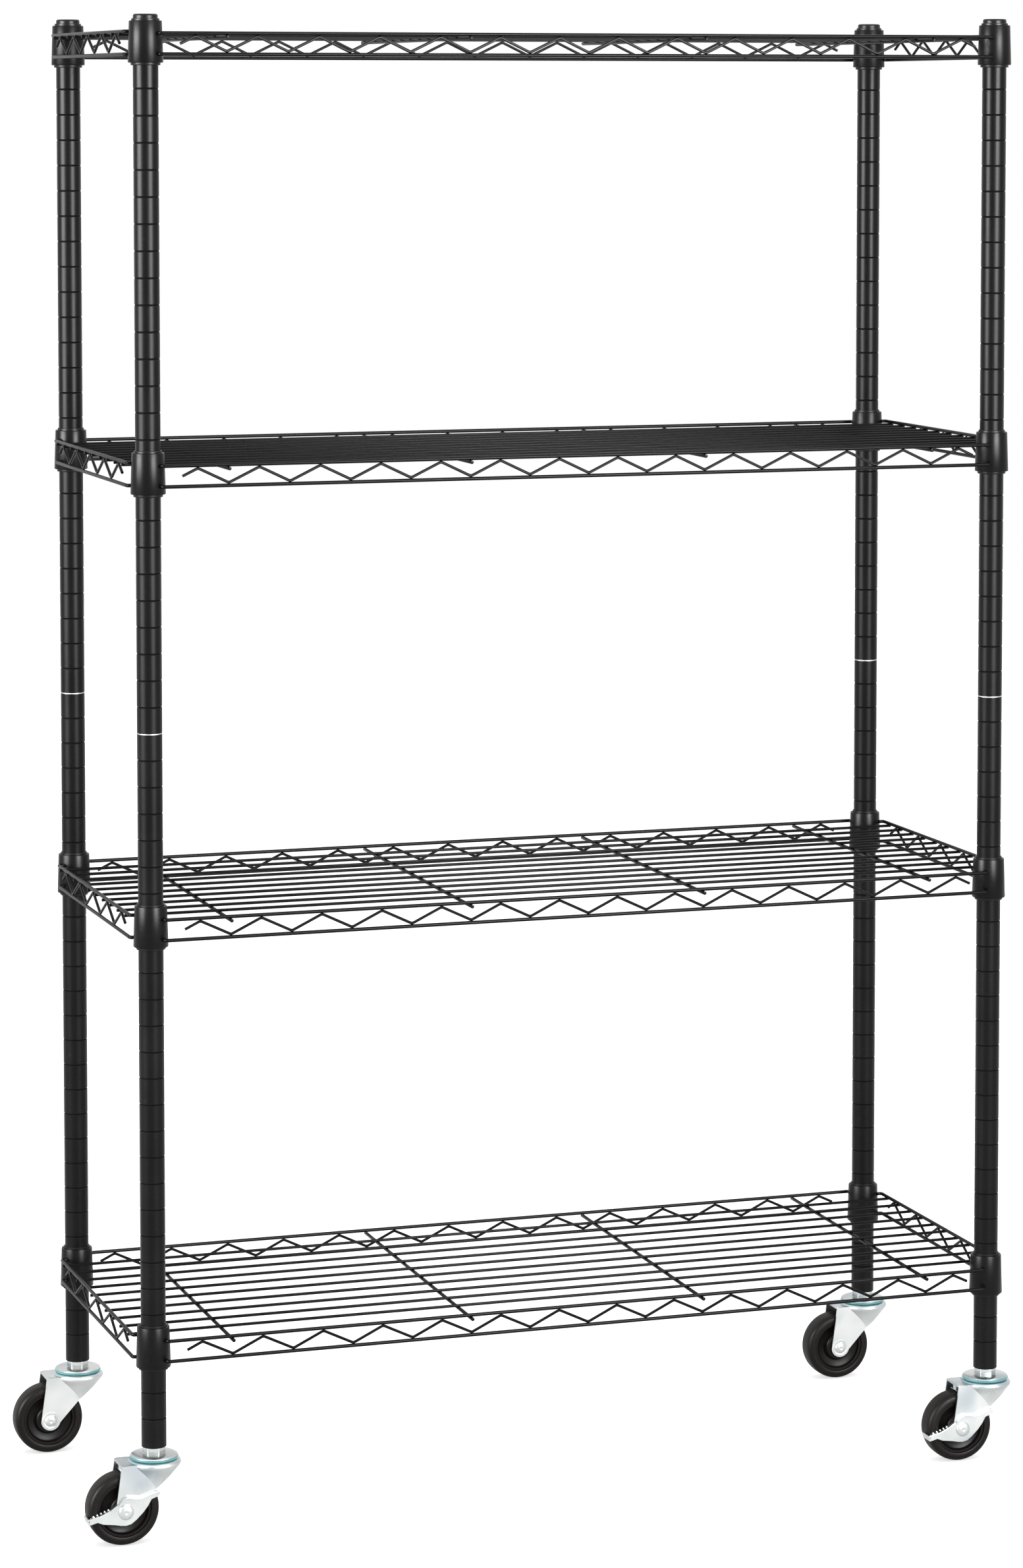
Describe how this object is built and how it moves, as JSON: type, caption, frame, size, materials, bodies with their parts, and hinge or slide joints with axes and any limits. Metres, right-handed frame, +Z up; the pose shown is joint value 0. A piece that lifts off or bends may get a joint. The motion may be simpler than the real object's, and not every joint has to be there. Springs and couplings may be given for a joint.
{
  "type": "wire shelving rack",
  "caption": "Free-standing wire shelving rack: open wire shelves clamped by split sleeves to grooved posts, on swivel casters, front ones braked.",
  "frame": {"origin": "on the floor, at the middle of the four posts", "axes": "+X along the shelves, to the right seen from the front; +Y from the front to the back; +Z up"},
  "size_m": [0.9661, 0.375, 1.46],
  "materials": {
    "post_black": "satin black powder coat",
    "wire_black": "satin black powder coat",
    "black_plastic": "moulded, satin",
    "zinc_steel": "bright zinc plate",
    "fork_zinc": "bright zinc-plated pressed sheet",
    "teal_ring": "moulded",
    "tyre_rubber": "smooth",
    "wheel_plastic": "moulded, satin"
  },
  "bodies": {
    "frame": {"post_lower_fl": "post_black", "post_lower_fr": "post_black", "post_lower_bl": "post_black", "post_lower_br": "post_black", "post_upper_fl": "post_black", "post_upper_fr": "post_black", "post_upper_bl": "post_black", "post_upper_br": "post_black", "post_caps": "black_plastic", "post_joint_studs": "zinc_steel", "post_inserts": "zinc_steel", "sleeves_shelf_1": "black_plastic", "sleeves_shelf_2": "black_plastic", "sleeves_shelf_3": "black_plastic", "sleeves_shelf_4": "black_plastic", "caster_stems": "zinc_steel", "caster_races": "zinc_steel", "caster_seals": "teal_ring", "caster_balls": "zinc_steel"},
    "shelf_1": {"shelf_1_collars": "wire_black", "shelf_1_rails": "wire_black", "shelf_1_truss_wires": "wire_black", "shelf_1_deck_wires": "wire_black", "shelf_1_cross_wires": "wire_black"},
    "shelf_2": {"shelf_2_collars": "wire_black", "shelf_2_rails": "wire_black", "shelf_2_truss_wires": "wire_black", "shelf_2_deck_wires": "wire_black", "shelf_2_cross_wires": "wire_black"},
    "shelf_3": {"shelf_3_collars": "wire_black", "shelf_3_rails": "wire_black", "shelf_3_truss_wires": "wire_black", "shelf_3_deck_wires": "wire_black", "shelf_3_cross_wires": "wire_black"},
    "shelf_4": {"shelf_4_collars": "wire_black", "shelf_4_rails": "wire_black", "shelf_4_truss_wires": "wire_black", "shelf_4_deck_wires": "wire_black", "shelf_4_cross_wires": "wire_black"},
    "swivel_fl": {"fork_fl": "fork_zinc", "axle_fl": "zinc_steel", "brake_shoe_fl": "fork_zinc"},
    "wheel_fl": {"wheel_core_fl": "wheel_plastic", "tyre_fl": "tyre_rubber"},
    "swivel_fr": {"fork_fr": "fork_zinc", "axle_fr": "zinc_steel", "brake_shoe_fr": "fork_zinc"},
    "wheel_fr": {"wheel_core_fr": "wheel_plastic", "tyre_fr": "tyre_rubber"},
    "swivel_bl": {"fork_bl": "fork_zinc", "axle_bl": "zinc_steel"},
    "wheel_bl": {"wheel_core_bl": "wheel_plastic", "tyre_bl": "tyre_rubber"},
    "swivel_br": {"fork_br": "fork_zinc", "axle_br": "zinc_steel"},
    "wheel_br": {"wheel_core_br": "wheel_plastic", "tyre_br": "tyre_rubber"},
    "brake_fl": {"brake_lever_fl": "fork_zinc"},
    "brake_fr": {"brake_lever_fr": "fork_zinc"}
  },
  "joints": [
    {"name": "shelf_1_lift", "type": "slide", "parent": "frame", "child": "shelf_1", "axis": [0, 0, 1], "range_m": [0, 0.3]},
    {"name": "shelf_2_lift", "type": "slide", "parent": "frame", "child": "shelf_2", "axis": [0, 0, 1], "range_m": [0, 0.3]},
    {"name": "shelf_3_lift", "type": "slide", "parent": "frame", "child": "shelf_3", "axis": [0, 0, 1], "range_m": [0, 0.3]},
    {"name": "shelf_4_lift", "type": "slide", "parent": "frame", "child": "shelf_4", "axis": [0, 0, 1], "range_m": [0, 0.12]},
    {"name": "swivel_fl_turn", "type": "hinge", "parent": "frame", "child": "swivel_fl", "pos_m": [-0.435, -0.1615, 0.08], "axis": [0, 0, 1], "continuous": true},
    {"name": "wheel_fl_spin", "type": "hinge", "parent": "swivel_fl", "child": "wheel_fl", "pos_m": [-0.467, -0.1615, 0.035], "axis": [0, 1, 0], "continuous": true},
    {"name": "swivel_fr_turn", "type": "hinge", "parent": "frame", "child": "swivel_fr", "pos_m": [0.435, -0.1615, 0.08], "axis": [0, 0, 1], "continuous": true},
    {"name": "wheel_fr_spin", "type": "hinge", "parent": "swivel_fr", "child": "wheel_fr", "pos_m": [0.403, -0.1615, 0.035], "axis": [0, 1, 0], "continuous": true},
    {"name": "swivel_bl_turn", "type": "hinge", "parent": "frame", "child": "swivel_bl", "pos_m": [-0.435, 0.1615, 0.08], "axis": [0, 0, 1], "continuous": true},
    {"name": "wheel_bl_spin", "type": "hinge", "parent": "swivel_bl", "child": "wheel_bl", "pos_m": [-0.467, 0.1615, 0.035], "axis": [0, 1, 0], "continuous": true},
    {"name": "swivel_br_turn", "type": "hinge", "parent": "frame", "child": "swivel_br", "pos_m": [0.435, 0.1615, 0.08], "axis": [0, 0, 1], "continuous": true},
    {"name": "wheel_br_spin", "type": "hinge", "parent": "swivel_br", "child": "wheel_br", "pos_m": [0.403, 0.1615, 0.035], "axis": [0, 1, 0], "continuous": true},
    {"name": "brake_fl_press", "type": "hinge", "parent": "swivel_fl", "child": "brake_fl", "pos_m": [-0.467, -0.1615, 0.035], "axis": [0, 1, 0], "range_deg": [0, 14]},
    {"name": "brake_fr_press", "type": "hinge", "parent": "swivel_fr", "child": "brake_fr", "pos_m": [0.403, -0.1615, 0.035], "axis": [0, 1, 0], "range_deg": [0, 14]}
  ]
}
